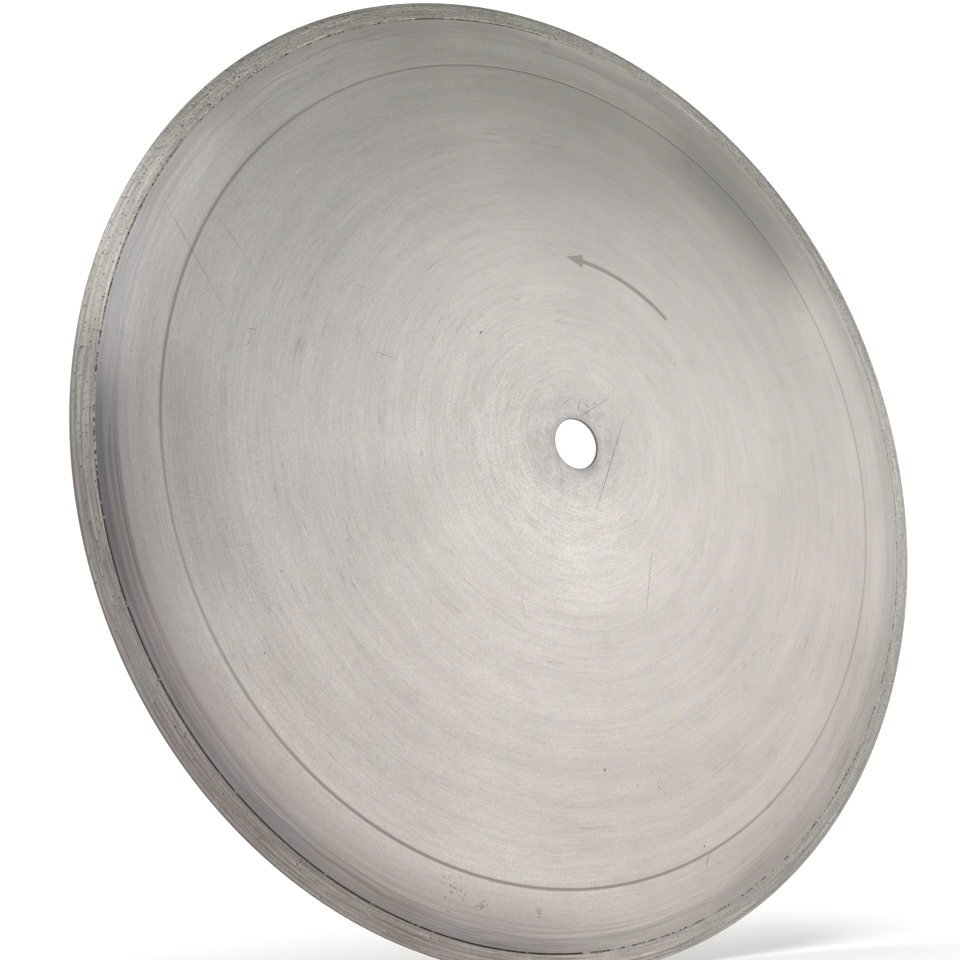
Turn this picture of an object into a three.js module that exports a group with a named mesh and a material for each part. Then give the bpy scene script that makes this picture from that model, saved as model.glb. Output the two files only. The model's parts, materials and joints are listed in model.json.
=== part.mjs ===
// A continuous-rim diamond saw blade: a thin steel core, a sintered diamond rim and the ring of
// braze metal that joins them. Millimetres, the blade's axis along Y, its marked face towards -Y,
// the origin at the centre of the arbor bore, midway between the faces.
import * as THREE from "three";

// Nominal sizes: a 300 mm blade with a 5/8 inch arbor bore.
const BLADE_DIAMETER = 300;
const BORE_DIAMETER = 15.88;
const CORE_THICKNESS = 0.9;
const RIM_THICKNESS = 1.5;
const RIM_DEPTH = 5.4; // radial depth of the diamond section
const JOINT_WIDTH = 0.4; // radial width of the braze metal

// Edges and steps.
const BORE_EDGE_BREAK = 0.1;
const CORE_EDGE_STEP = 0.07; // how far the core's edge lies below the rim's side
const JOINT_RECESS = 0.13; // how far the braze metal lies below the rim's side
const RIM_BEVEL = { width: 1.05, drop: 0.1 };

// The narrow, shallow ring rolled into both faces of the core to tension it.
const TENSION_RING = { inner: 127.8, bottom: 128.35, outer: 128.9, depth: 0.02 };

// The hollow-ground band where the core thickens up to the rim.
const SWELL_WIDTH = 5.5;
const SWELL_STEPS = 5;

const SEGMENTS = 144;

const bladeRadius = BLADE_DIAMETER / 2;
const boreRadius = BORE_DIAMETER / 2;
const rimInnerRadius = bladeRadius - RIM_DEPTH;
const coreRadius = rimInnerRadius - JOINT_WIDTH;
const coreHalf = CORE_THICKNESS / 2;
const rimHalf = RIM_THICKNESS / 2;
const coreEdgeHalf = rimHalf - CORE_EDGE_STEP;

// One face of the core as [radius, height above the mid-plane], from the bore outwards.
function coreFace() {
  const face = [
    [boreRadius, coreHalf - BORE_EDGE_BREAK],
    [boreRadius + BORE_EDGE_BREAK, coreHalf],
    [TENSION_RING.inner, coreHalf],
    [TENSION_RING.bottom, coreHalf - TENSION_RING.depth],
    [TENSION_RING.outer, coreHalf],
  ];
  for (let step = 0; step <= SWELL_STEPS; step++) {
    const share = step / SWELL_STEPS;
    const radius = coreRadius - SWELL_WIDTH * (1 - share);
    face.push([radius, coreHalf + (coreEdgeHalf - coreHalf) * share ** 2]);
  }
  return face;
}

// One side of the rim, from its bore outwards: flat, then a shallow worn bevel.
function rimFace() {
  return [
    [rimInnerRadius, rimHalf],
    [bladeRadius - RIM_BEVEL.width, rimHalf],
    [bladeRadius, rimHalf - RIM_BEVEL.drop],
  ];
}

// One side of the braze ring.
function jointFace() {
  const half = rimHalf - JOINT_RECESS;
  return [
    [coreRadius, half],
    [rimInnerRadius, half],
  ];
}

// A solid of revolution about Y with the same face on both sides.
function disc(name, face, colour, roughness, metalness) {
  const outwards = face.map(([radius, height]) => new THREE.Vector2(radius, -height));
  const inwards = face.map(([radius, height]) => new THREE.Vector2(radius, height)).reverse();
  const outline = [...outwards, ...inwards, outwards[0].clone()];
  const geometry = new THREE.LatheGeometry(outline, SEGMENTS);
  const material = new THREE.MeshStandardMaterial({ color: colour, roughness, metalness });
  const mesh = new THREE.Mesh(geometry, material);
  mesh.name = name;
  return mesh;
}

const blade = new THREE.Group();
blade.name = "diamond_blade";
blade.add(disc("steel_core", coreFace(), 0xb8b4ab, 0.35, 1.0));
blade.add(disc("braze_joint", jointFace(), 0x3a3632, 0.7, 0.8));
blade.add(disc("diamond_rim", rimFace(), 0x94918a, 0.55, 0.9));

export default blade;
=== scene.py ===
# The looks of a continuous-rim diamond saw blade: a circular-ground steel core, the dark braze seam
# and a sintered rim with grit, pits and wear tails. The blade stands upright on a pale floor.
#
# Places on the blade are given as polar ones: a radius, and an angle from +X towards +Z, so that the
# angle grows anticlockwise on the marked face, which looks towards -Y.
import json
import math

import bpy
import numpy as np
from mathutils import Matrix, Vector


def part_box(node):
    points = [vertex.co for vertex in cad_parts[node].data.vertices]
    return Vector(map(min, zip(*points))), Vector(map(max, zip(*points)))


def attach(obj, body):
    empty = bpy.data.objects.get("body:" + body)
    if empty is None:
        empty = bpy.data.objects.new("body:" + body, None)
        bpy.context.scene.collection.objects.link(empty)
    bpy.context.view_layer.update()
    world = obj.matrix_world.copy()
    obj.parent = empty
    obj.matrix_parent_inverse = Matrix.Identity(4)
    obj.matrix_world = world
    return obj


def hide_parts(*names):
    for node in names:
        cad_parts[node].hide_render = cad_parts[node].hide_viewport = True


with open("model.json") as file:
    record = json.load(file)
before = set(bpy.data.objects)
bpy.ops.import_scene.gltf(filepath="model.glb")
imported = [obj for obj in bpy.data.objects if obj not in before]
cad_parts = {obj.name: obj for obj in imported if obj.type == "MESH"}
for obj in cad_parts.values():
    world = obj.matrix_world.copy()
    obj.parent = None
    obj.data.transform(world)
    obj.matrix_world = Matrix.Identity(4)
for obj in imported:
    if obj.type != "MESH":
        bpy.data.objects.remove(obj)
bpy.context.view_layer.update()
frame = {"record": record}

MM = 0.001
SEED = 7

# Sizes that the frame holds.
BLADE_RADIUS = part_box("diamond_rim")[1][0]
RIM_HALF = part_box("diamond_rim")[1][1]
CORE_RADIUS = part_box("steel_core")[1][0]
CORE_EDGE_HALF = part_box("steel_core")[1][1]
RIM_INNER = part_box("braze_joint")[1][0]
CORE_HALF = next(m for m in frame["record"]["mounts"] if m["name"] == "clamp_face_back")["pos_m"][1]
BODY = "root"

# Sizes of the finish. The tension ring and the swell lie where the core's own solid has them.
BORE_RADIUS = 7.94 * MM
BORE_BREAK = 0.1 * MM
RING_INNER = 127.8 * MM
RING_BOTTOM = 128.35 * MM
RING_OUTER = 128.9 * MM
RING_DEPTH = 0.02 * MM
SWELL_WIDTH = 5.5 * MM
EDGE_BREAK = 0.05 * MM
BEVEL_WIDTH = 1.05 * MM
BEVEL_DROP = 0.1 * MM

# The radii that the materials measure from, in millimetres as theirs are.
BORE_EDGE = BORE_RADIUS / MM
CORE_EDGE = CORE_RADIUS / MM
RIM_EDGE = RIM_INNER / MM
RUNNING_EDGE = BLADE_RADIUS / MM

TIGHT = 0.05 * MM  # how close a ring of points stands to an edge to keep its shading sharp

CORE_SEGMENTS = 1080
RIM_SEGMENTS = 2000

FRONT = -1  # the marked face, which looks towards -Y
BACK = 1

# The side of the blade that is stained by the heat of brazing, and how far from its middle the stain
# stays full and where it ends.
HOT_SIDE = math.radians(225)
HOT_FULL = math.radians(31)
HOT_END = math.radians(52)

# Radii of the heat stains in millimetres: where the brown haze ends and the temper colours start, where
# these are full, where the steel starts to be scorched and is fully so, and a dark line on the swell.
HAZE_END = 137.0
TEMPER_FULL = 142.0
SCORCH_START = 141.9
SCORCH_FULL = 142.6
SWELL_LINE = 139.6

# The side where the last grinding marks show most.
GROUND_LAST = math.radians(215)

# The arcs where the seam is open: start and end in degrees, and how much more open it is there. Dirt
# and painted shade lie on both sides of the arcs that are wide open.
WIDE_OPEN = 1
OPEN_FULL = 0.9  # the share of such an arc where the dirt and painted shade are full
OPEN_ARCS = ((191, 269, 2.1), (94, 114, 1.2), (160, 191, 0.42), (114, 160, 0.15), (269, 330, 0.12))

# Where the tension ring is drawn darker: angle in degrees, the cosines away from it where the darkening
# starts and is full, and how dark it gets there; and how dark it is elsewhere.
DARKER_RING_SIDES = ((258, 0.2, 0.95, 0.92), (165, 0.72, 0.97, 0.72))
RING_DARKENING = 0.45

# Faint tints of painted reflection on the metal: angle in degrees, the cosines away from it where the
# tint starts and is full, the radii in millimetres where it starts and is full, and the colour.
WARMER = (1.02, 1.0, 0.972, 1.0)
REFLECTION_TINTS = (
    (288, 0.1, 0.7, 20, 105, WARMER),
    (172, 0.6, 1.0, 20, 105, (0.985, 1.0, 1.015, 1.0)),
    (214, 0.5, 0.95, 80, 122, (1.0, 0.984, 1.0, 1.0)),
    (85, 0.4, 0.95, 85, 122, (1.003, 1.01, 0.988, 1.0)),
    (182, 0.965, 0.995, 136, 141, (0.965, 1.0, 1.045, 1.0)),
    (338, 0.9, 0.98, 136, 141, (0.98, 1.0, 1.03, 1.0)),
)
RIM_REFLECTION_TINTS = (
    (252, 0.75, 0.97, 143, 144, (1.03, 0.99, 0.975, 1.0)),
    (95, 0.75, 0.97, 143, 144, (1.0, 1.015, 0.97, 1.0)),
)

# Soft patches of painted reflection and painted shade, where the metal is drawn brighter or darker than
# elsewhere: angle in degrees and its reach, radius in millimetres and its reach, and how bright the
# metal is there.
PAINTED_LIGHT_PATCHES = (
    (53, 22, 127.5, 22, 0.7),
    (18, 26, 131, 24, 1.1),
    (31, 13, 126, 16, 1.1),
    (345, 14, 134, 9, 1.12),
    (92, 26, 136, 11, 1.22),
    (84, 26, 104, 26, 0.93),
    (122, 26, 149, 7, 0.84),
    (130, 16, 116, 12, 0.93),
    (128, 46, 58, 38, 1.08),
    (157, 14, 133, 7, 1.1),
    (142, 20, 142, 5, 1.22),
    (164, 21, 143, 12, 1.36),
    (192, 18, 124, 18, 0.82),
    (203, 15, 68, 40, 0.92),
    (193, 14, 143.5, 8, 0.7),
    (172, 16, 142, 4, 1.14),
    (88, 14, 142, 4, 1.16),
    (62, 14, 138, 10, 1.1),
    (260, 14, 141, 3, 1.22),
    (268, 24, 122, 26, 1.06),
    (284, 32, 36, 26, 1.09),
    (285, 12, 140.5, 4, 1.12),
    (312, 42, 139, 18, 0.85),
    (300, 50, 8, 5, 0.75),
    (218, 50, 15, 9, 0.9),
    (5, 30, 15, 9, 0.93),
    (352, 18, 114, 14, 1.045),
    (182, 16, 112, 18, 0.955),
    (225, 13, 116, 12, 0.96),
    (308, 24, 106, 18, 0.96),
)
RIM_PAINTED_LIGHT_PATCHES = (
    (45, 14, 147, 12, 0.9),
    (76, 12, 147, 12, 1.1),
    (104, 16, 146, 3, 0.9),
    (122, 26, 149, 7, 0.84),
    (166, 14, 147, 12, 1.42),
    (8, 16, 147, 12, 1.12),
    (225, 16, 147, 12, 0.87),
    (262, 14, 147, 12, 1.12),
    (310, 42, 147, 12, 0.78),
)


# ------------------------------------------------------------------------------------ meshes

def add_piece(name, vertices, faces, material, replaced=()):
    """Makes a mesh object that rides on the blade and takes the given material."""
    mesh = bpy.data.meshes.new(name)
    mesh.from_pydata(np.asarray(vertices).tolist(), [], [list(map(int, face)) for face in faces])
    mesh.materials.append(material)
    piece = bpy.data.objects.new(name, mesh)
    bpy.context.collection.objects.link(piece)
    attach(piece, BODY)
    if replaced:
        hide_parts(*replaced)
    return piece


def smooth(piece, sharp_degrees):
    """Shades a piece smooth, apart from edges that turn by more than the angle."""
    piece.data.shade_smooth()
    piece.data.set_sharp_from_angle(angle=math.radians(sharp_degrees))


def add_point_values(piece, name, values):
    """Stores one number per vertex for the piece's material to read."""
    attribute = piece.data.attributes.new(name, "FLOAT", "POINT")
    attribute.data.foreach_set("value", np.ascontiguousarray(values, dtype=np.float32).ravel())


def grid_faces(rings, segments):
    """Quads of a grid that closes on itself in both directions, facing out of a turned ring."""
    ring, segment = np.meshgrid(np.arange(rings), np.arange(segments), indexing="ij")
    next_ring = (ring + 1) % rings
    next_segment = (segment + 1) % segments
    corners = [
        ring * segments + segment,
        ring * segments + next_segment,
        next_ring * segments + next_segment,
        next_ring * segments + segment,
    ]
    return np.stack(corners, axis=-1).reshape(-1, 4)


def turned_points(radii, heights, segments):
    """Points of a surface of revolution about Y; radii and heights hold a ring per row."""
    angle = np.arange(segments) * 2 * math.pi / segments
    radii = np.broadcast_to(radii, (radii.shape[0], segments))
    heights = np.broadcast_to(heights, (heights.shape[0], segments))
    return np.stack([radii * np.cos(angle), heights, radii * np.sin(angle)], axis=-1).reshape(-1, 3)


def both_faces(half):
    """Closes one face's (radius, half thickness) list into an outline that has it on both sides."""
    front = [(radius, -height) for radius, height in half]
    back = [(radius, height) for radius, height in reversed(half)]
    outline = np.array(front + back)
    return outline[:, :1], outline[:, 1:]


# ------------------------------------------------------------------------------------ the core

RING_STEPS_DOWN = 8
RING_STEPS_UP = 6
RING_MARGIN = 1 * MM  # how far inside the tension ring the flat's last ring of points lies
SWELL_STEPS = 14
BORE_BREAK_BULGE = 0.3  # the broken edge's middle point, as a share of its width from the corner


def ease(share):
    """A share from 0 to 1 with a smooth start and end."""
    return (1 - math.cos(math.pi * share)) / 2


def tension_ring_face():
    """The tension ring's hollow, from its inner edge to its outer one, as (radius, half thickness)."""
    face = []
    for share in np.linspace(0, 1, RING_STEPS_DOWN):
        radius = RING_INNER + (RING_BOTTOM - RING_INNER) * share
        face.append((radius, CORE_HALF - RING_DEPTH * ease(share)))
    for share in np.linspace(0, 1, RING_STEPS_UP)[1:]:
        radius = RING_BOTTOM + (RING_OUTER - RING_BOTTOM) * share
        face.append((radius, CORE_HALF - RING_DEPTH * ease(1 - share)))
    return face


def core_face():
    """One face of the core, from the bore outwards, as (radius, half thickness)."""
    flat_start = BORE_RADIUS + BORE_BREAK
    swell_start = CORE_RADIUS - SWELL_WIDTH
    bulge = BORE_BREAK * BORE_BREAK_BULGE
    face = [(BORE_RADIUS, 0.0), (BORE_RADIUS, CORE_HALF - BORE_BREAK)]
    face.append((BORE_RADIUS + bulge, CORE_HALF - bulge))
    flat_end = RING_INNER - RING_MARGIN
    face += [(radius, CORE_HALF) for radius in (flat_start, flat_start + TIGHT, flat_end)]
    face += tension_ring_face()
    face += [(radius, CORE_HALF) for radius in (RING_OUTER + TIGHT, swell_start - TIGHT)]
    for share in np.linspace(0, 1, SWELL_STEPS)[:-1]:
        rise = (CORE_EDGE_HALF - CORE_HALF) * share ** 2
        face.append((swell_start + SWELL_WIDTH * share, CORE_HALF + rise))
    face.append((CORE_RADIUS - EDGE_BREAK, CORE_EDGE_HALF))
    face.append((CORE_RADIUS, CORE_EDGE_HALF - EDGE_BREAK))
    return face


def build_core():
    radii, heights = both_faces(core_face())
    radii, heights = radii[:-1], heights[:-1]  # both faces start at the same point of the bore's wall
    points = turned_points(radii, heights, CORE_SEGMENTS)
    faces = grid_faces(len(radii), CORE_SEGMENTS)
    core = add_piece("ground_core", points, faces, core_material(), ["steel_core"])
    smooth(core, sharp_degrees=30)


# ------------------------------------------------------------------------------------ the seam

SEAM_FILL_DEPTH = 0.01 * MM  # how far the braze lies below the core's edge where it fills the seam
SEAM_VOID_DEPTH = 0.3 * MM  # how far it lies below where it has left a void
# How much of a void shows at each share of the seam's width: voids open along its middle.
SEAM_PROFILE = ((0.0, 0.0), (0.34, 0.9), (0.5, 1.0), (0.76, 1.0), (0.9, 0.2), (1.0, 0.0))

SEAM_CLOSED = -0.45  # how open the seam is away from the open arcs: below 0 it is filled
SEAM_SPREAD = 0.75  # how much that varies from one segment to the next
SEAM_WAVES = (67, 139, 283)  # and in waves: how many there are round the blade
SEAM_WAVE_HEIGHT = 0.12
SEAM_CONTRAST = 2.2  # how sharply a void ends


def seam_voids(random):
    """How open the seam is at each segment, from 0 to 1: closed, dashed, or open along the open arcs."""
    degrees = np.arange(RIM_SEGMENTS) * 360 / RIM_SEGMENTS
    ripple = random.normal(0, SEAM_SPREAD, RIM_SEGMENTS)
    for waves in SEAM_WAVES:
        phase = random.uniform(0, 2 * math.pi)
        ripple += SEAM_WAVE_HEIGHT * np.sin(waves * np.radians(degrees) + phase)
    openness = np.full(RIM_SEGMENTS, SEAM_CLOSED)
    for start, end, amount in OPEN_ARCS:
        openness[(degrees > start) & (degrees < end)] += amount
    return np.clip(SEAM_CONTRAST * (openness + ripple), 0, 1)


def build_joint(random):
    voids = seam_voids(random)
    shares, openings = np.array(SEAM_PROFILE).T
    radii = CORE_RADIUS + (RIM_INNER - CORE_RADIUS) * shares
    depth = SEAM_FILL_DEPTH + (SEAM_VOID_DEPTH - SEAM_FILL_DEPTH) * openings[:, None] * voids
    face_heights = CORE_EDGE_HALF - depth
    radii = np.concatenate([radii, radii[::-1]])[:, None]
    heights = np.concatenate([-face_heights, face_heights[::-1]])
    points = turned_points(radii, heights, RIM_SEGMENTS)
    faces = grid_faces(len(radii), RIM_SEGMENTS)
    joint = add_piece("braze_ring", points, faces, braze_material(), ["braze_joint"])
    shown = np.concatenate([openings, openings[::-1]])[:, None] * voids
    add_point_values(joint, "void", shown)
    smooth(joint, sharp_degrees=60)


# ------------------------------------------------------------------------------------ the rim

GRIT_PER_FACE = 3300
GRIT_ON_EDGE = 300
GRIT_SIZES = (0.12 * MM, 0.3 * MM)
CROWDED_SHARE = 0.36  # the share of the grit that shows along the most worn arc
CROWDED_ARC = (152.0, 25.0)  # that arc's middle and spread, in degrees
PIT_SHARE = 0.45  # the share of the grit that has fallen out and left a pit
PIT_DEPTH = 0.14 * MM
PIT_LEAST = 0.45  # the shallowest pit, as a share of the deepest
WEAR_DEPTH = 0.05 * MM  # how far the bond between the tails is worn back
TAIL_LENGTHS = (1.2 * MM, 3.0 * MM, 7.0 * MM)
TAIL_LEAST = 0.3  # the faintest tail, as a share of the strongest
BEVEL_SHARES = (0.35, 0.7, 0.97)  # where the bevel's rings of points lie across it
BEVEL_CURVE = 1.5  # above 1, the bevel gets steeper outwards
INNER_EDGE_WIDTH = 1.5 * EDGE_BREAK
INNER_EDGE_DROP = 1.2 * EDGE_BREAK
RUNNING_HALF = RIM_HALF - 1.35 * BEVEL_DROP  # half the width of the running surface
RIM_FLAT_RINGS = 15
RIM_EDGE_RINGS = 4


def rim_face_rings():
    """One face of the rim as (radius, half thickness): an inner edge, the flat and the worn bevel."""
    flat_end = BLADE_RADIUS - BEVEL_WIDTH
    rings = [(RIM_INNER, RIM_HALF - INNER_EDGE_DROP)]
    flat = np.linspace(RIM_INNER + INNER_EDGE_WIDTH, flat_end, RIM_FLAT_RINGS)
    rings += [(radius, RIM_HALF) for radius in flat]
    for share in BEVEL_SHARES:
        rings.append((flat_end + BEVEL_WIDTH * share, RIM_HALF - BEVEL_DROP * share ** BEVEL_CURVE))
    return np.array(rings)


def trailing(impulses, length):
    """Draws each impulse out behind itself: the blade turns towards growing angles."""
    segment_length = 2 * math.pi * BLADE_RADIUS / RIM_SEGMENTS
    kernel = np.exp(-np.arange(RIM_SEGMENTS) * segment_length / length)
    spectrum = np.fft.rfft(impulses, axis=1) * np.conj(np.fft.rfft(kernel))
    return np.fft.irfft(spectrum, n=RIM_SEGMENTS, axis=1)


def rim_wear(random, rings, count):
    """Scatters grit over one worn surface: its places and sizes, and each point's pit depth and tail."""
    ring = random.integers(1, rings - 1, count)
    crowded = random.uniform(0.0, 1.0, count) < CROWDED_SHARE
    worn_place = (random.normal(*CROWDED_ARC, count) * RIM_SEGMENTS / 360).astype(int) % RIM_SEGMENTS
    segment = np.where(crowded, worn_place, random.integers(0, RIM_SEGMENTS, count))
    size = random.uniform(0.0, 1.0, count) ** 2
    is_pit = random.uniform(0.0, 1.0, count) < PIT_SHARE
    pits = np.zeros((rings, RIM_SEGMENTS))
    pits[ring[is_pit], segment[is_pit]] = PIT_LEAST + (1 - PIT_LEAST) * size[is_pit]
    tails = np.zeros_like(pits)
    for number, length in enumerate(TAIL_LENGTHS):
        chosen = np.arange(count) % len(TAIL_LENGTHS) == number
        impulses = np.zeros_like(pits)
        impulses[ring[chosen], segment[chosen]] = TAIL_LEAST + (1 - TAIL_LEAST) * size[chosen]
        tails += trailing(impulses, length)
    tails = np.clip(tails, 0, 1) * (1 - pits)
    grit = np.stack([ring[~is_pit], segment[~is_pit], size[~is_pit]], axis=-1)
    return grit, pits, tails


def in_turn(points, face):
    """Orders a face's corners anticlockwise as seen from outside the crystal."""
    middle = points[face].mean(axis=0)
    first = points[face[0]] - middle
    second = np.cross(middle, first)
    spokes = points[face] - middle
    turns = [math.atan2(np.dot(spoke, second), np.dot(spoke, first)) for spoke in spokes]
    return [face[k] for k in np.argsort(turns)]


def crystal_shape():
    """Points and faces of a cuboctahedron of unit radius, the usual shape of saw diamond."""
    grid = np.array(list(np.ndindex(3, 3, 3))) - 1
    points = grid[np.abs(grid).sum(axis=1) == 2]
    squares = [np.where(points[:, axis] == sign)[0] for axis in range(3) for sign in (-1, 1)]
    corners = np.array(list(np.ndindex(2, 2, 2))) * 2 - 1
    triangles = [np.where(points @ corner == 2)[0] for corner in corners]
    faces = [in_turn(points, face) for face in squares + triangles]
    return points / math.sqrt(2), faces


def random_turn(random):
    """A rotation matrix with a random axis and angle."""
    quaternion = random.normal(0, 1, 4)
    w, x, y, z = quaternion / np.linalg.norm(quaternion)
    return np.array([
        [1 - 2 * (y * y + z * z), 2 * (x * y - z * w), 2 * (x * z + y * w)],
        [2 * (x * y + z * w), 1 - 2 * (x * x + z * z), 2 * (y * z - x * w)],
        [2 * (x * z - y * w), 2 * (y * z + x * w), 1 - 2 * (x * x + y * y)],
    ])


def build_grit(random, seats):
    """Crystals at their seats: each a place on the rim's skin, the way out of it, and a size share."""
    shape, shape_faces = crystal_shape()
    points, faces, tones = [], [], []
    for place, outward, size in seats:
        radius = GRIT_SIZES[0] + (GRIT_SIZES[1] - GRIT_SIZES[0]) * size
        turned = shape @ random_turn(random).T * radius
        top = (turned @ outward).max()
        first = len(points) * len(shape)
        points.append(turned + place - outward * top)
        faces += [[first + corner for corner in face] for face in shape_faces]
        tones += [random.uniform(0, 1)] * len(shape)
    grit = add_piece("diamond_grit", np.concatenate(points), faces, grit_material())
    add_point_values(grit, "tone", tones)


def grit_seats(face, edge_heights, front_grit, back_grit, edge_grit):
    """Where each crystal sits: its place on the rim's skin, the way out of it, and a size share."""
    seats = []
    for side, grit in ((FRONT, front_grit), (BACK, back_grit)):
        for ring, segment, size in grit:
            radius, height = face[int(ring)]
            angle = 2 * math.pi * segment / RIM_SEGMENTS
            place = np.array([radius * math.cos(angle), side * height, radius * math.sin(angle)])
            seats.append((place, np.array([0.0, side, 0.0]), size))
    for ring, segment, size in edge_grit:
        angle = 2 * math.pi * segment / RIM_SEGMENTS
        outward = np.array([math.cos(angle), 0.0, math.sin(angle)])
        place = outward * BLADE_RADIUS + np.array([0.0, edge_heights[int(ring)], 0.0])
        seats.append((place, outward, size))
    return seats


def build_rim(random):
    face = rim_face_rings()
    rings = len(face)
    front_grit, front_pits, front_tails = rim_wear(random, rings, GRIT_PER_FACE)
    back_grit, back_pits, back_tails = rim_wear(random, rings, GRIT_PER_FACE)
    edge_grit, edge_pits, edge_tails = rim_wear(random, RIM_EDGE_RINGS, GRIT_ON_EDGE)
    edge_heights = np.linspace(-1, 1, RIM_EDGE_RINGS) * RUNNING_HALF

    front_height = -(face[:, 1:] - PIT_DEPTH * front_pits - WEAR_DEPTH * (1 - front_tails))
    back_height = face[:, 1:] - PIT_DEPTH * back_pits - WEAR_DEPTH * (1 - back_tails)
    edge_radius = BLADE_RADIUS - PIT_DEPTH * edge_pits - WEAR_DEPTH * (1 - edge_tails)
    edge_radius[:, :: RIM_SEGMENTS // 4] = BLADE_RADIUS  # the full size on both axes
    face_radius = np.broadcast_to(face[:, :1], front_height.shape)
    radii = np.concatenate([face_radius, edge_radius, face_radius[::-1]])
    edge_height = np.broadcast_to(edge_heights[:, None], edge_radius.shape)
    heights = np.concatenate([front_height, edge_height, back_height[::-1]])
    points = turned_points(radii, heights, RIM_SEGMENTS)
    faces = grid_faces(len(radii), RIM_SEGMENTS)
    rim = add_piece("worn_rim", points, faces, rim_material(), ["diamond_rim"])
    add_point_values(rim, "pit", np.concatenate([front_pits, edge_pits, back_pits[::-1]]))
    add_point_values(rim, "tail", np.concatenate([front_tails, edge_tails, back_tails[::-1]]))
    smooth(rim, sharp_degrees=50)
    build_grit(random, grit_seats(face, edge_heights, front_grit, back_grit, edge_grit))


# ------------------------------------------------------------------------------------ marks on the steel

MARK_PROUD = 0.012 * MM
MARK_SUNK = 0.05 * MM

SCRATCH_STEP = 1.2 * MM  # how often along a scratch its width changes
SCRATCH_WIDTHS = (0.45, 1.0)  # between which shares of its full width
SCRATCH_ENDS = (0.02, 0.98)  # a little short of 0 and 1, so that an end keeps some width
NICK_REACH = 0.75  # half a nick's length, as a share of its width

# Random scratches: how many a face has, where they start as shares of the blade's area from its
# middle, and their lengths and widths in millimetres.
RANDOM_COUNTS = ((FRONT, 26), (BACK, 34))
RANDOM_AREA = (0.03, 0.72)
RANDOM_LENGTHS = (1.5, 9.0)
RANDOM_WIDTHS = (0.05, 0.11)

SPECK_WIDTHS = (0.25, 0.5)  # in millimetres

# Scratches on the marked face: two ends as (x, z) in millimetres, and a width in millimetres.
SCRATCHES = (
    ((-117.0, 47.0), (-105.0, 32.4), 0.13),
    ((-132.2, 48.2), (-112.6, 19.3), 0.14),
    ((18.8, 10.8), (6.9, -20.2), 0.26),
    ((27.9, -30.9), (24.8, -50.3), 0.18),
    ((-104.4, 16.4), (-106.9, 16.2), 0.2),
    ((2.1, 15.7), (0.7, 10.2), 0.3),
    ((13.1, 17.3), (1.1, 8.6), 0.22),
    ((-69.2, 17.0), (-63.1, 16.0), 0.22),
    ((-106.6, 11.4), (-105.9, 13.5), 0.18),
    ((1.5, 12.0), (6.2, 9.3), 0.2),
    ((3.2, 13.4), (5.6, 12.7), 0.24),
    ((-5.4, 12.0), (-1.2, 14.6), 0.14),
    ((44.9, -120.6), (43.0, -124.2), 0.34),
    ((89.7, 41.8), (124.0, 57.3), 0.1),
)

# Nicks and specks on the marked face: (x, z) and a width in millimetres.
NICKS = (
    (-34.5, 29.9, 0.7),
    (7.4, 14.3, 0.6),
    (-93.8, -47.9, 0.45),
    (-97.1, -68.8, 0.5),
    (6.9, -96.8, 0.7),
    (41.4, 33.8, 0.5),
    (12.0, -4.2, 0.55),
    (42.9, -118.6, 0.5),
)

# Clusters of rust specks on the marked face: angle in degrees, radius and spread in millimetres, and
# how many specks.
CLUSTERS = (
    (251.5, 133.5, 3.2, 16),
    (255.5, 134.5, 1.4, 10),
    (263.0, 134.0, 1.0, 8),
    (284.0, 104.0, 5.0, 7),
)

ARROW_RADIUS = 63 * MM
ARROW_TAIL = math.radians(52)
ARROW_NECK = math.radians(86)
ARROW_TIP = math.radians(92)
ARROW_SHAFT_HALF = 0.75 * MM
ARROW_HEAD_HALF = 2.4 * MM
ARROW_TIP_HALF = 0.04 * MM
ARROW_SHOULDER = math.radians(0.02)  # how fast the shaft widens into the head
ARROW_SHAFT_STATIONS = 40
ARROW_HEAD_STATIONS = 8


def ribbon(middles, sideways, half_widths, side):
    """A thin closed strip on one face: its middle points and sideways directions are (x, z) rows."""
    middles, sideways = np.asarray(middles), np.asarray(sideways)
    offsets = sideways * np.asarray(half_widths)[:, None]
    left, right = middles - offsets, middles + offsets
    outer = side * (CORE_HALF + MARK_PROUD)
    inner = side * (CORE_HALF - MARK_SUNK)
    edges = []
    for flat, height in ((left, outer), (left, inner), (right, inner), (right, outer)):
        edges.append(np.stack([flat[:, 0], np.full(len(flat), height), flat[:, 1]], axis=-1))
    points = np.stack(edges, axis=1).reshape(-1, 3)
    faces = []
    for station in range(len(middles) - 1):
        for corner in range(4):
            here, beside = station * 4 + corner, station * 4 + (corner + 1) % 4
            faces.append([here, beside, beside + 4, here + 4])
    last = (len(middles) - 1) * 4
    faces.append([3, 2, 1, 0])
    faces.append([last, last + 1, last + 2, last + 3])
    if side == BACK:
        faces = [face[::-1] for face in faces]
    return points, faces


def joined(strips):
    """Puts several (points, faces) lists into one."""
    points, faces, count = [], [], 0
    for strip_points, strip_faces in strips:
        points.append(strip_points)
        faces += [[count + corner for corner in face] for face in strip_faces]
        count += len(strip_points)
    return np.concatenate(points), faces


def scratch(start, end, width, side, random):
    """A straight scratch that wavers a little in width and fades out at both ends."""
    start, end = np.array(start) * MM, np.array(end) * MM
    stations = max(4, int(np.linalg.norm(end - start) / SCRATCH_STEP))
    share = np.linspace(0, 1, stations)[:, None]
    middles = start + (end - start) * share
    along = (end - start) / np.linalg.norm(end - start)
    sideways = np.tile([-along[1], along[0]], (stations, 1))
    taper = np.sqrt(np.sin(math.pi * np.linspace(*SCRATCH_ENDS, stations)))
    widths = width * MM / 2 * taper * random.uniform(*SCRATCH_WIDTHS, stations)
    return ribbon(middles, sideways, widths, side)


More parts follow.
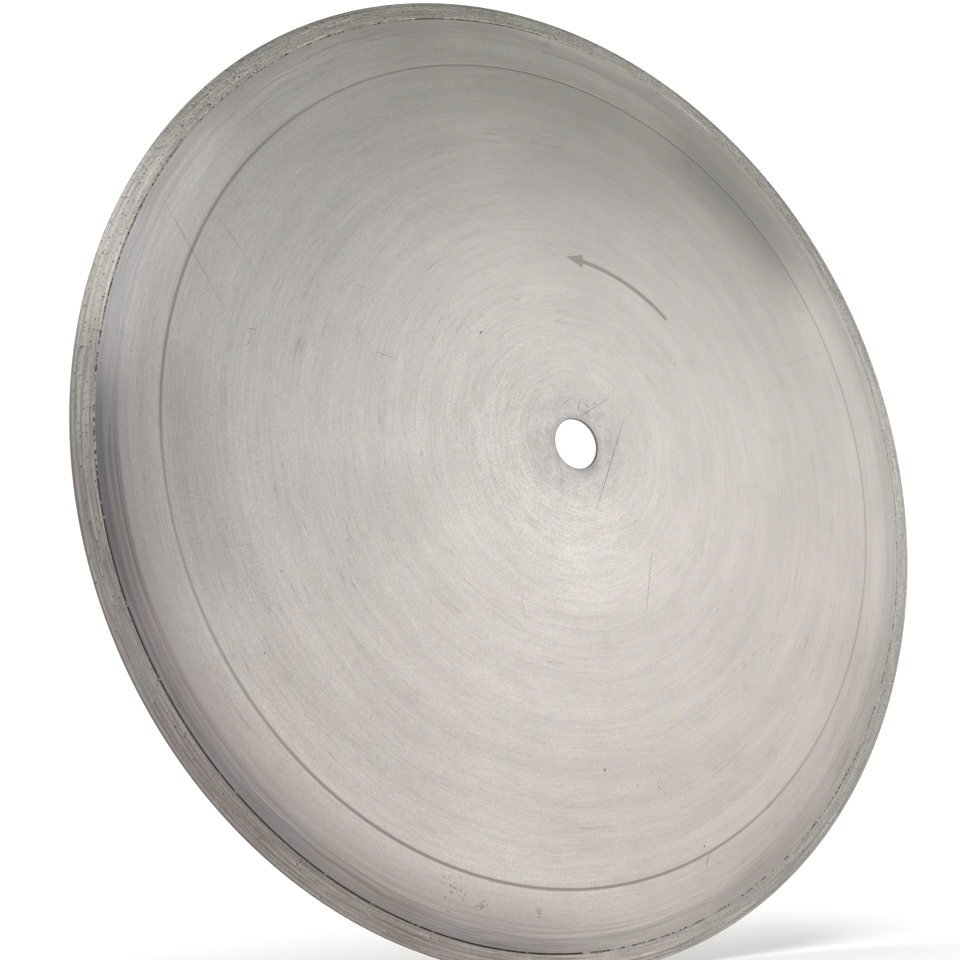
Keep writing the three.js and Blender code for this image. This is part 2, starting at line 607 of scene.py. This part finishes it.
def random_scratches(random, count, side):
    """Short handling scratches anywhere on the steel of one face."""
    strips = []
    for _ in range(count):
        radius = math.sqrt(random.uniform(*RANDOM_AREA)) * BLADE_RADIUS / MM
        angle = random.uniform(0, 2 * math.pi)
        heading = random.uniform(0, math.pi)
        length = random.uniform(*RANDOM_LENGTHS)
        start = np.array([math.cos(angle), math.sin(angle)]) * radius
        end = start + np.array([math.cos(heading), math.sin(heading)]) * length
        strips.append(scratch(start, end, random.uniform(*RANDOM_WIDTHS), side, random))
    return strips


def nick(x, z, width, side, random):
    """A small ragged dent, a little longer than it is wide."""
    heading = random.uniform(0, math.pi)
    reach = np.array([math.cos(heading), math.sin(heading)]) * width * NICK_REACH
    middle = np.array([x, z])
    return scratch(middle - reach, middle + reach, width, side, random)


def specks(angle, radius, spread, count, side, random):
    """A loose cluster of fine specks round one place."""
    angle = math.radians(angle)
    middle = np.array([math.cos(angle), math.sin(angle)]) * radius
    places = middle + random.normal(0, spread / 2, (count, 2))
    return [nick(x, z, random.uniform(*SPECK_WIDTHS), side, random) for x, z in places]


def build_marks(random):
    strips = [scratch(start, end, width, FRONT, random) for start, end, width in SCRATCHES]
    strips += [nick(x, z, width, FRONT, random) for x, z, width in NICKS]
    for cluster in CLUSTERS:
        strips += specks(*cluster, FRONT, random)
    for side, count in RANDOM_COUNTS:
        strips += random_scratches(random, count, side)
    points, faces = joined(strips)
    add_piece("scratch_marks", points, faces, scratch_material())


def build_arrow():
    """The etched arrow that shows which way the blade turns."""
    shaft = np.linspace(ARROW_TAIL, ARROW_NECK, ARROW_SHAFT_STATIONS)
    head = np.linspace(ARROW_NECK + ARROW_SHOULDER, ARROW_TIP, ARROW_HEAD_STATIONS)
    angles = np.concatenate([shaft, head])
    outward = np.stack([np.cos(angles), np.sin(angles)], axis=-1)
    head_widths = np.linspace(ARROW_HEAD_HALF, ARROW_TIP_HALF, len(head))
    widths = np.concatenate([np.full(len(shaft), ARROW_SHAFT_HALF), head_widths])
    points, faces = ribbon(outward * ARROW_RADIUS, -outward, widths, FRONT)
    add_piece("direction_arrow", points, faces, etch_material())


# ------------------------------------------------------------------------------------ materials

class Nodes:
    """Short calls for building one material's nodes. Sockets or numbers go in, a socket comes out."""

    def __init__(self, name):
        self.material = bpy.data.materials.new(name)
        self.material.use_nodes = True
        self.tree = self.material.node_tree
        self.shader = self.tree.nodes["Principled BSDF"]

    def plug(self, socket, value):
        if isinstance(value, bpy.types.NodeSocket):
            self.tree.links.new(value, socket)
        else:
            socket.default_value = value

    def node(self, kind, **settings):
        made = self.tree.nodes.new(kind)
        for key, value in settings.items():
            setattr(made, key, value)
        return made

    def math(self, operation, a, b=0.0):
        made = self.node("ShaderNodeMath", operation=operation)
        self.plug(made.inputs[0], a)
        self.plug(made.inputs[1], b)
        return made.outputs[0]

    def times(self, a, b):
        return self.math("MULTIPLY", a, b)

    def off(self, value, middle):
        """How far the value is from the middle one, either way."""
        return self.math("ABSOLUTE", self.math("SUBTRACT", value, middle))

    def combine(self, x, y, z):
        made = self.node("ShaderNodeCombineXYZ")
        for socket, value in zip(made.inputs, (x, y, z)):
            self.plug(socket, value)
        return made.outputs[0]

    def noise(self, vector, scale, detail=2.0, roughness=0.5):
        made = self.node("ShaderNodeTexNoise")
        self.plug(made.inputs["Vector"], vector)
        made.inputs["Scale"].default_value = scale
        made.inputs["Detail"].default_value = detail
        made.inputs["Roughness"].default_value = roughness
        return made.outputs["Fac"]

    def span(self, value, low, high, to_low=0.0, to_high=1.0, smooth_step=False):
        made = self.node("ShaderNodeMapRange")
        made.interpolation_type = "SMOOTHSTEP" if smooth_step else "LINEAR"
        for socket, number in zip(made.inputs, (value, low, high, to_low, to_high)):
            self.plug(socket, number)
        return made.outputs["Result"]

    def mix(self, share, a, b, blend="MIX"):
        made = self.node("ShaderNodeMix", data_type="RGBA", blend_type=blend)
        self.plug(made.inputs[0], share)
        self.plug(made.inputs[6], a)
        self.plug(made.inputs[7], b)
        return made.outputs[2]

    def scaled(self, colour, factor):
        """The colour times a number or another colour."""
        return self.mix(1.0, colour, factor, "MULTIPLY")

    def value(self, name):
        return self.node("ShaderNodeAttribute", attribute_name=name).outputs["Fac"]

    def bump(self, height, distance, strength=1.0):
        made = self.node("ShaderNodeBump")
        made.inputs["Strength"].default_value = strength
        made.inputs["Distance"].default_value = distance
        self.plug(made.inputs["Height"], height)
        self.plug(self.shader.inputs["Normal"], made.outputs["Normal"])


class BladeNodes(Nodes):
    """Nodes with the blade's polar coordinates: radius in millimetres, cosine and sine of the angle."""

    def __init__(self, name):
        super().__init__(name)
        self.place = self.node("ShaderNodeTexCoord").outputs["Object"]
        split = self.node("ShaderNodeSeparateXYZ")
        self.plug(split.inputs[0], self.place)
        x, y, z = split.outputs
        radius = self.math("SQRT", self.math("ADD", self.times(x, x), self.times(z, z)))
        self.radius = self.math("DIVIDE", radius, MM)
        self.cosine = self.math("DIVIDE", x, radius)
        self.sine = self.math("DIVIDE", z, radius)
        self.x = self.math("DIVIDE", x, MM)
        self.height = self.math("DIVIDE", y, MM)
        self.z = self.math("DIVIDE", z, MM)

    def side(self, across, faces_apart):
        """How far across the grinding marks a point is. The second number keeps the faces unlike."""
        made = self.math("MULTIPLY_ADD", self.ground_radius, across)
        self.plug(made.node.inputs[2], self.times(self.height, faces_apart))
        return made

    def arcs(self, across, along, detail=2.0, roughness=0.5):
        """Noise in streaks of arc: how often per millimetre it changes across and along the circles."""
        x, z = self.times(self.x, along), self.times(self.z, along)
        return self.noise(self.combine(x, self.side(across, 7.0), z), 1.0, detail, roughness)

    def rings(self, across, turns, detail=2.0, roughness=0.5):
        """Noise in rings: how often per millimetre it changes across, and how often round a turn."""
        x, z = self.times(self.cosine, turns), self.times(self.sine, turns)
        return self.noise(self.combine(x, self.side(across, 9.0), z), 1.0, detail, roughness)

    def wander(self, amount):
        """Lets the grinding marks wander off true circles by up to this many millimetres."""
        drift = self.span(self.noise(self.place, 45.0, 2.0), 0.3, 0.7, -amount, amount)
        self.ground_radius = self.math("ADD", self.radius, drift)

    def toward(self, angle):
        """From -1 to 1: how near the point's angle is to the given one."""
        along = self.times(self.cosine, math.cos(angle))
        across = self.times(self.sine, math.sin(angle))
        return self.math("ADD", along, across)

    def reflection_tinted(self, colour, tints):
        """The colour with its faint painted reflection tints on some sides of the blade."""
        for angle, start, full, inner, outer, tint in tints:
            around = self.span(self.toward(math.radians(angle)), start, full)
            share = self.times(around, self.span(self.radius, inner, outer))
            colour = self.mix(share, colour, self.scaled(colour, tint))
        return colour

    def with_painted_light(self, colour, patches):
        """The colour, with painted reflection and painted shade where the soft patches lie."""
        for angle, turn, radius, reach, level in patches:
            end = math.cos(math.radians(turn))
            around = self.span(self.toward(math.radians(angle)), end, 1.0, smooth_step=True)
            across = self.span(self.off(self.radius, radius), 0.0, reach, 1.0, 0.0, smooth_step=True)
            inside = self.times(around, across)
            colour = self.scaled(colour, self.span(inside, 0.0, 1.0, 1.0, level))
        return colour

    def brush_along_circles(self, anisotropy):
        tangent = self.node("ShaderNodeTangent", direction_type="RADIAL", axis="Y")
        self.plug(self.shader.inputs["Tangent"], tangent.outputs[0])
        self.shader.inputs["Anisotropic"].default_value = anisotropy


SEAM_DIRT_AND_SHADE = (0.05, 0.045, 0.04, 1)  # the colour of the dirt and painted shade beside the open seam


def hot_side(n):
    """1 on the side of the blade that is stained by heat, 0 away from it."""
    return n.span(n.toward(HOT_SIDE), math.cos(HOT_END), math.cos(HOT_FULL), smooth_step=True)


def beside_open_seam(n):
    """1 beside the arcs where the seam stands wide open, 0 elsewhere."""
    share = 0.0
    for start, end, amount in OPEN_ARCS:
        if amount > WIDE_OPEN:
            middle, half = math.radians((start + end) / 2), math.radians((end - start) / 2)
            inside = n.span(n.toward(middle), math.cos(half), math.cos(half * OPEN_FULL))
            share = n.math("MAXIMUM", inside, share)
    return share


def clouded_steel(n, fine):
    """The bare steel's colour: slow tints, clouds and broad rings, and thin brown stains."""
    tint = n.arcs(0.1, 0.04, 4.0, 0.65)
    blotches = n.noise(n.place, 280.0, 3.0)
    cloud = n.noise(n.place, 22.0, 3.0, 0.55)
    broad = n.rings(0.22, 1.6, 3.0, 0.6)
    smudge = n.arcs(0.16, 0.1, 4.0, 0.65)
    stain = n.noise(n.place, 75.0, 5.0, 0.66)
    steel = n.mix(n.span(tint, 0.36, 0.6), (0.545, 0.517, 0.495, 1), (0.534, 0.517, 0.494, 1))
    steel = n.mix(n.span(blotches, 0.35, 0.65), steel, n.scaled(steel, WARMER))
    steel = n.scaled(steel, n.span(cloud, 0.35, 0.65, 0.967, 1.033))
    steel = n.scaled(steel, n.span(fine, 0.3, 0.7, 0.975, 1.025))
    steel = n.scaled(steel, n.span(broad, 0.35, 0.65, 0.96, 1.04))
    steel = n.mix(n.span(smudge, 0.6, 0.76, 0.0, 0.4), steel, (0.42, 0.38, 0.35, 1))
    return n.mix(n.span(stain, 0.56, 0.72, 0.0, 0.24), steel, (0.43, 0.4, 0.37, 1))


def ground_marks(n, steel, hair):
    """Fine marks, strongest round the bore and on the side that was ground last, and deeper scores."""
    grain = n.noise(n.place, 3200.0, 2.0, 0.7)
    line = n.rings(1.8, 2.6, 3.0, 0.75)
    marks = n.math("ADD", n.times(hair, 0.45), n.math("ADD", n.times(grain, 0.85), n.times(line, 0.3)))
    near_bore = n.span(n.radius, 15.0, 60.0, 2.1, 1.0)
    strength = n.times(near_bore, n.span(n.toward(GROUND_LAST), -1, 1, 0.5, 1.12))
    contrast = n.times(n.math("SUBTRACT", marks, 0.8), strength)
    steel = n.scaled(steel, n.span(contrast, -0.25, 0.25, 0.8, 1.19))

    off_line = n.off(n.rings(0.35, 1.3, 2.0, 0.6), 0.5)
    scored = n.span(off_line, 0.0, 0.008, 1.0, 0.0, smooth_step=True)
    scored = n.times(scored, n.span(n.arcs(0.1, 0.02), 0.5, 0.6))
    return n.mix(n.times(scored, 0.38), steel, (0.22, 0.2, 0.19, 1))


def bore_dirt(n, steel):
    """Flange rub round the bore, in patches, and the dirt at the bore's edge."""
    rubbed = n.span(n.radius, 9.0, 24.0, 1.0, 0.0, smooth_step=True)
    patches = n.span(n.noise(n.place, 260.0, 5.0, 0.7), 0.4, 0.66, 0.05, 0.6)
    steel = n.mix(n.times(rubbed, patches), steel, (0.34, 0.32, 0.325, 1))
    greyed = n.span(n.radius, BORE_EDGE + 0.26, BORE_EDGE + 2.56, 0.45, 0.0, smooth_step=True)
    steel = n.mix(greyed, steel, (0.3, 0.285, 0.3, 1))
    grimed = n.span(n.radius, BORE_EDGE + 0.02, BORE_EDGE + 0.36, 0.75, 0.0)
    return n.mix(grimed, steel, (0.07, 0.065, 0.065, 1))


def darker_tension_ring(n, steel):
    """The tension ring drawn darker: somewhat all round, and more on the darker sides."""
    amount = RING_DARKENING
    for angle, start, full, most in DARKER_RING_SIDES:
        amount = n.math("MAXIMUM", n.span(n.toward(math.radians(angle)), start, full, 0.0, most), amount)
    from_bottom = n.off(n.radius, RING_BOTTOM / MM)
    # How much darker the ring's hollow is drawn.
    dirt = n.times(n.span(from_bottom, 0.14, 0.66, 1.0, 0.0, smooth_step=True), amount)
    return n.mix(dirt, steel, (0.25, 0.228, 0.208, 1))


def heat_colour(n, bands, streaks):
    """Streaked temper colours: brown, and blue-grey in clouds."""
    blue = n.span(n.noise(n.place, 38.0, 2.0), 0.42, 0.58)
    banded = n.span(bands, 0.42, 0.58)
    browned = n.mix(banded, (0.31, 0.272, 0.248, 1), (0.22, 0.196, 0.184, 1))
    blued = n.mix(banded, (0.31, 0.29, 0.282, 1), (0.215, 0.208, 0.212, 1))
    colour = n.scaled(n.mix(blue, browned, blued), n.span(streaks, 0.38, 0.62, 0.72, 1.28))
    hairlines = n.rings(6.0, 1.5, 2.0, 0.8)
    return n.scaled(colour, n.span(hairlines, 0.36, 0.64, 0.78, 1.24))


def heat_stains(n, steel):
    """A brown haze outside the tension ring, and streaks of temper colour before the seam."""
    hot = hot_side(n)
    smoked = n.times(n.span(n.radius, RING_OUTER / MM, HAZE_END), n.times(hot, 0.52))
    steel = n.mix(smoked, steel, (0.29, 0.264, 0.25, 1))

    bands = n.rings(0.7, 0.9, 4.0, 0.75)
    streaks = n.rings(2.8, 1.2, 3.0, 0.8)
    wavy = n.math("ADD", n.span(bands, 0.3, 0.7, -1.8, 1.8), n.span(streaks, 0.38, 0.62, -1.5, 1.5))
    heated = n.span(n.math("ADD", n.radius, wavy), HAZE_END, TEMPER_FULL)
    heated = n.times(heated, n.span(hot, 0.0, 1.0, 0.6, 0.97))
    steel = n.mix(heated, steel, heat_colour(n, bands, streaks))

    scorched = n.times(n.span(n.radius, SCORCH_START, SCORCH_FULL, 0.0, 0.55), hot)
    steel = n.mix(scorched, steel, (0.19, 0.186, 0.196, 1))
    at_swell = n.times(n.span(n.off(n.radius, SWELL_LINE), 0.1, 0.34, 0.36, 0.0), hot)
    return n.mix(at_swell, steel, (0.17, 0.14, 0.125, 1))


def core_material():
    """Circular-ground steel: fine arcs, broad rings, cloudy stains, a heat-darkened edge."""
    n = BladeNodes("ground_steel")
    n.wander(0.25)
    hair = n.arcs(3.4, 0.15, 2.0, 0.75)
    fine = n.arcs(1.1, 0.03, 3.0, 0.65)
    steel = clouded_steel(n, fine)
    steel = ground_marks(n, steel, hair)
    steel = bore_dirt(n, steel)
    steel = darker_tension_ring(n, steel)
    steel = heat_stains(n, steel)
    # Painted reflection tints, then soft patches of painted reflection and painted shade.
    steel = n.with_painted_light(n.reflection_tinted(steel, REFLECTION_TINTS), PAINTED_LIGHT_PATCHES)
    # Dirt and painted shade on the core's edge beside the seam's wide open arcs.
    seam_dirt_and_shade = n.span(n.radius, CORE_EDGE - 0.08, CORE_EDGE - 0.01, 0.0, 0.3)
    seam_dirt_and_shade = n.times(seam_dirt_and_shade, beside_open_seam(n))
    n.plug(n.shader.inputs["Base Color"], n.mix(seam_dirt_and_shade, steel, SEAM_DIRT_AND_SHADE))

    n.plug(n.shader.inputs["Roughness"], n.span(hair, 0.25, 0.75, 0.34, 0.42))
    n.shader.inputs["Metallic"].default_value = 1.0
    n.brush_along_circles(0.7)
    n.bump(n.math("ADD", hair, fine), 0.02 * MM, 0.3)
    return n.material


def braze_material():
    """Brazing metal: dull bronze-grey where it fills the seam, near black painted shade in the voids."""
    n = BladeNodes("braze")
    void = n.value("void")
    grain = n.noise(n.place, 3000.0, 2.0)
    filled = n.mix(grain, (0.36, 0.345, 0.31, 1), (0.5, 0.48, 0.43, 1))
    # The voids are painted near black as shade.
    n.plug(n.shader.inputs["Base Color"], n.mix(void, filled, (0.02, 0.016, 0.012, 1)))
    n.plug(n.shader.inputs["Metallic"], n.span(void, 0.0, 1.0, 0.9, 0.2))
    n.plug(n.shader.inputs["Roughness"], n.span(void, 0.0, 1.0, 0.5, 0.9))
    n.bump(grain, 0.05 * MM, 0.6)
    return n.material


def bond_colour(n, streak, grain, hot):
    """The bond: streaked along circles towards the hot side, grainier away from it."""
    thread = n.rings(3.0, 7.0, 2.0, 0.6)
    broad = n.rings(0.7, 5.0, 2.0, 0.5)
    cloud = n.noise(n.place, 60.0, 3.0, 0.55)
    bond = n.mix(n.span(cloud, 0.4, 0.6), (0.468, 0.455, 0.417, 1), (0.48, 0.453, 0.43, 1))
    streaky = n.span(n.toward(HOT_SIDE), -0.5, 0.6, 0.4, 1.0)
    bond = n.mix(streaky, bond, n.scaled(bond, n.span(streak, 0.3, 0.7, 0.55, 1.42)))
    bond = n.scaled(bond, n.span(thread, 0.3, 0.7, 0.72, 1.26))
    bond = n.scaled(bond, n.span(broad, 0.35, 0.65, 0.92, 1.07))
    grainy = n.scaled(bond, n.span(grain, 0.3, 0.7, 0.6, 1.36))
    bond = n.mix(n.span(streaky, 0.4, 1.0, 1.0, 0.35), bond, grainy)
    return n.mix(hot, bond, n.scaled(bond, (0.615, 0.59, 0.602, 1)))


def scores_and_tails(n, bond):
    """Dark scored lines, and the lighter tails behind the grit."""
    scored = n.span(n.off(n.rings(1.1, 1.0, 2.0, 0.6), 0.5), 0.0, 0.02, 0.5, 0.0)
    scored = n.times(scored, n.span(n.arcs(0.1, 0.02), 0.44, 0.54))
    bond = n.mix(scored, bond, (0.14, 0.13, 0.12, 1))
    return n.mix(n.times(n.value("tail"), 0.35), bond, (0.52, 0.5, 0.45, 1))


def edge_wear_and_shade(n, bond, hot):
    """A fine dark line where the bevel starts, a lighter bevel, and painted shade on the running
    surface.
    """
    at_line = n.off(n.radius, (BLADE_RADIUS - BEVEL_WIDTH) / MM)
    bond = n.mix(n.span(at_line, 0.08, 0.22, 0.15, 0.0), bond, (0.12, 0.11, 0.1, 1))
    bevel = n.span(n.radius, RUNNING_EDGE - 0.8, RUNNING_EDGE - 0.4, 0.0, 0.12)
    bond = n.mix(bevel, bond, (0.56, 0.54, 0.5, 1))
    # Painted shade on the running surface, heavier on the hot side.
    surface = n.span(n.radius, RUNNING_EDGE - 0.25, RUNNING_EDGE - 0.1)
    surface = n.times(surface, n.span(hot, 0.0, 1.0, 0.3, 0.8))
    return n.mix(surface, bond, (0.09, 0.08, 0.075, 1))


def rim_material():
    """Sintered metal bond: matt, streaked along circles, pits darkened with painted shade, lighter tails
    behind the grit.
    """
    n = BladeNodes("sintered_bond")
    n.wander(0.1)
    streak = n.arcs(2.0, 0.03, 3.0, 0.8)
    grain = n.noise(n.place, 2100.0, 3.0, 0.65)
    hot = hot_side(n)
    bond = bond_colour(n, streak, grain, hot)
    bond = scores_and_tails(n, bond)
    bond = edge_wear_and_shade(n, bond, hot)
    # Painted reflection tints, then soft patches of painted reflection and painted shade.
    bond = n.with_painted_light(n.reflection_tinted(bond, RIM_REFLECTION_TINTS), RIM_PAINTED_LIGHT_PATCHES)
    # Dirt and painted shade on the rim's inner edge beside the seam's wide open arcs.
    seam_dirt_and_shade = n.times(n.span(n.radius, RIM_EDGE + 0.02, RIM_EDGE + 0.1, 0.9, 0.0), beside_open_seam(n))
    bond = n.mix(seam_dirt_and_shade, bond, SEAM_DIRT_AND_SHADE)
    # Painted shade in the pits.
    bond = n.mix(n.span(n.value("pit"), 0.35, 0.75), bond, (0.03, 0.025, 0.02, 1))
    n.plug(n.shader.inputs["Base Color"], bond)

    n.plug(n.shader.inputs["Roughness"], n.span(streak, 0.3, 0.7, 0.42, 0.6))
    n.shader.inputs["Metallic"].default_value = 0.9
    n.brush_along_circles(0.4)
    n.bump(n.math("ADD", streak, n.times(grain, 0.4)), 0.06 * MM, 0.6)
    return n.material


def grit_material():
    """Synthetic diamond held in the bond: mostly dark olive and brown, some of it yellow."""
    n = Nodes("diamond_grit")
    tone = n.value("tone")
    dull = n.mix(n.span(tone, 0.0, 0.8), (0.018, 0.014, 0.01, 1), (0.06, 0.05, 0.03, 1))
    bright = n.mix(n.span(tone, 0.86, 0.96), dull, (0.3, 0.26, 0.12, 1))
    n.plug(n.shader.inputs["Base Color"], bright)
    n.plug(n.shader.inputs["Roughness"], n.span(tone, 0.0, 1.0, 0.55, 0.25))
    n.shader.inputs["Specular IOR Level"].default_value = 0.35
    frost = n.noise(n.node("ShaderNodeTexCoord").outputs["Object"], 9000.0, 2.0)
    n.bump(frost, 0.02 * MM, 0.5)
    return n.material


def scratch_material():
    """Torn steel and the dirt in it, darkened further as painted shade of the scratches' grooves."""
    n = BladeNodes("scratched_steel")
    grain = n.noise(n.place, 1800.0, 3.0, 0.7)
    # The dark colours stand partly for the shade in the grooves.
    n.plug(n.shader.inputs["Base Color"], n.mix(grain, (0.09, 0.08, 0.075, 1), (0.26, 0.24, 0.225, 1)))
    n.shader.inputs["Metallic"].default_value = 0.8
    n.plug(n.shader.inputs["Roughness"], n.span(grain, 0.0, 1.0, 0.4, 0.65))
    n.bump(grain, 0.02 * MM, 0.6)
    return n.material


def etch_material():
    """Matt steel, greyed by etching."""
    n = BladeNodes("etched_steel")
    n.wander(0.1)
    grain = n.noise(n.place, 2600.0, 3.0, 0.7)
    wear = n.arcs(1.4, 0.1, 3.0, 0.6)
    etched = n.mix(grain, (0.34, 0.325, 0.3, 1), (0.42, 0.4, 0.37, 1))
    n.plug(n.shader.inputs["Base Color"], n.mix(n.span(wear, 0.55, 0.75), etched, (0.52, 0.5, 0.46, 1)))
    n.shader.inputs["Metallic"].default_value = 0.95
    n.plug(n.shader.inputs["Roughness"], n.span(grain, 0.0, 1.0, 0.48, 0.6))
    n.bump(grain, 0.01 * MM, 0.5)
    return n.material


# ------------------------------------------------------------------------------------ the studio

# The camera's place in blade radii from the bore's centre, and where it points.
CAMERA_PLACE = (-1.288, -1.795, -0.642)
CAMERA_HEADING = math.radians(-30.52)  # from +Y, anticlockwise seen from above
CAMERA_PITCH = math.radians(16.71)
CAMERA_LENS = 41.56
CAMERA_SENSOR = 36.0
CAMERA_CLIP = (0.01, 20.0)
CAMERA_SHIFT_Y = -0.0465

FLOOR_SIZE = 12.0

# How bright the room is, and its soft areas: azimuth from -Y towards +X, elevation, inner and outer
# radius, all in degrees, and how bright the area is. Each is seen by both faces of the blade alike.
ROOM_LEVEL = 1.23
BACKDROP_LEVEL = 1.1
SOFT_AREAS = (
    (36.0, 56.0, 20.0, 68.0, 0.1),
    (35.6, 15.4, 8.7, 21.2, 1.87),
    (17.0, 29.0, 3.0, 12.0, 1.19),
)

# The floor light's strength, and its spread and tilt in degrees.
FLOOR_LIGHT = 2.55
FLOOR_LIGHT_SPREAD = 40.0
FLOOR_LIGHT_TILT = 6.0


def build_camera():
    data = bpy.data.cameras.new("camera")
    data.lens = CAMERA_LENS
    data.sensor_width = CAMERA_SENSOR
    data.shift_y = CAMERA_SHIFT_Y
    data.clip_start, data.clip_end = CAMERA_CLIP
    camera = bpy.data.objects.new("camera", data)
    camera.location = [BLADE_RADIUS * share for share in CAMERA_PLACE]
    camera.rotation_euler = (math.pi / 2 + CAMERA_PITCH, 0.0, CAMERA_HEADING)
    bpy.context.collection.objects.link(camera)
    bpy.context.scene.camera = camera


def build_floor():
    bpy.ops.mesh.primitive_plane_add(size=FLOOR_SIZE, location=(0, 0, -BLADE_RADIUS))
    floor = bpy.context.active_object
    floor.name = "floor"
    n = Nodes("pale_floor")
    n.shader.inputs["Base Color"].default_value = (0.8, 0.79, 0.785, 1.0)
    n.shader.inputs["Roughness"].default_value = 0.9
    floor.data.materials.append(n.material)


def direction(azimuth, elevation):
    """A unit vector: azimuth in degrees from -Y towards +X, elevation up from the floor."""
    azimuth, elevation = math.radians(azimuth), math.radians(elevation)
    level = math.cos(elevation)
    return (math.sin(azimuth) * level, -math.cos(azimuth) * level, math.sin(elevation))


def build_surround():
    """A white room with one dark and two lighter soft areas before each face of the blade."""
    world = bpy.data.worlds.new("studio")
    world.use_nodes = True
    tree = world.node_tree
    background = tree.nodes["Background"]

    def linked(kind, inputs, **settings):
        node = tree.nodes.new(kind)
        for key, value in settings.items():
            setattr(node, key, value)
        for name, value in inputs.items():
            if isinstance(value, bpy.types.NodeSocket):
                tree.links.new(value, node.inputs[name])
            else:
                node.inputs[name].default_value = value
        return node

    view = tree.nodes.new("ShaderNodeTexCoord").outputs["Generated"]
    x, y, z = linked("ShaderNodeSeparateXYZ", {0: view}).outputs
    front = linked("ShaderNodeMath", {0: y}, operation="ABSOLUTE")
    front = linked("ShaderNodeMath", {0: front.outputs[0], 1: -1.0}, operation="MULTIPLY")
    folded = linked("ShaderNodeCombineXYZ", {0: x, 1: front.outputs[0], 2: z})
    level = ROOM_LEVEL
    for azimuth, elevation, inner, outer, area_level in SOFT_AREAS:
        near = linked(
            "ShaderNodeVectorMath",
            {0: folded.outputs[0], 1: direction(azimuth, elevation)},
            operation="DOT_PRODUCT",
        )
        angle = linked("ShaderNodeMath", {0: near.outputs["Value"]}, operation="ARCCOSINE")
        share = linked(
            "ShaderNodeMapRange",
            {0: angle.outputs[0], 1: math.radians(inner), 2: math.radians(outer), 3: 1.0, 4: 0.0},
            interpolation_type="SMOOTHSTEP",
        )
        level = linked("ShaderNodeMix", {0: share.outputs[0], 2: level, 3: area_level}).outputs[0]
    seen = tree.nodes.new("ShaderNodeLightPath").outputs["Is Camera Ray"]
    shown = linked("ShaderNodeMix", {0: seen, 2: level, 3: BACKDROP_LEVEL})
    tree.links.new(shown.outputs[0], background.inputs["Strength"])
    background.inputs["Color"].default_value = (1.0, 1.0, 1.0, 1.0)
    bpy.context.scene.world = world
    bpy.context.scene.view_settings.view_transform = "Standard"


def build_floor_light():
    """A wide soft light from above and before: it whitens the floor and leaves no glint on the steel."""
    data = bpy.data.lights.new("floor_light", "SUN")
    data.energy = FLOOR_LIGHT
    data.angle = math.radians(FLOOR_LIGHT_SPREAD)
    light = bpy.data.objects.new("floor_light", data)
    light.rotation_euler = (math.radians(FLOOR_LIGHT_TILT), 0.0, 0.0)
    light.visible_glossy = False
    bpy.context.collection.objects.link(light)


def main():
    random = np.random.default_rng(SEED)
    build_camera()
    build_floor()
    build_surround()
    build_floor_light()
    build_core()
    build_joint(random)
    build_rim(random)
    build_marks(random)
    build_arrow()


main()
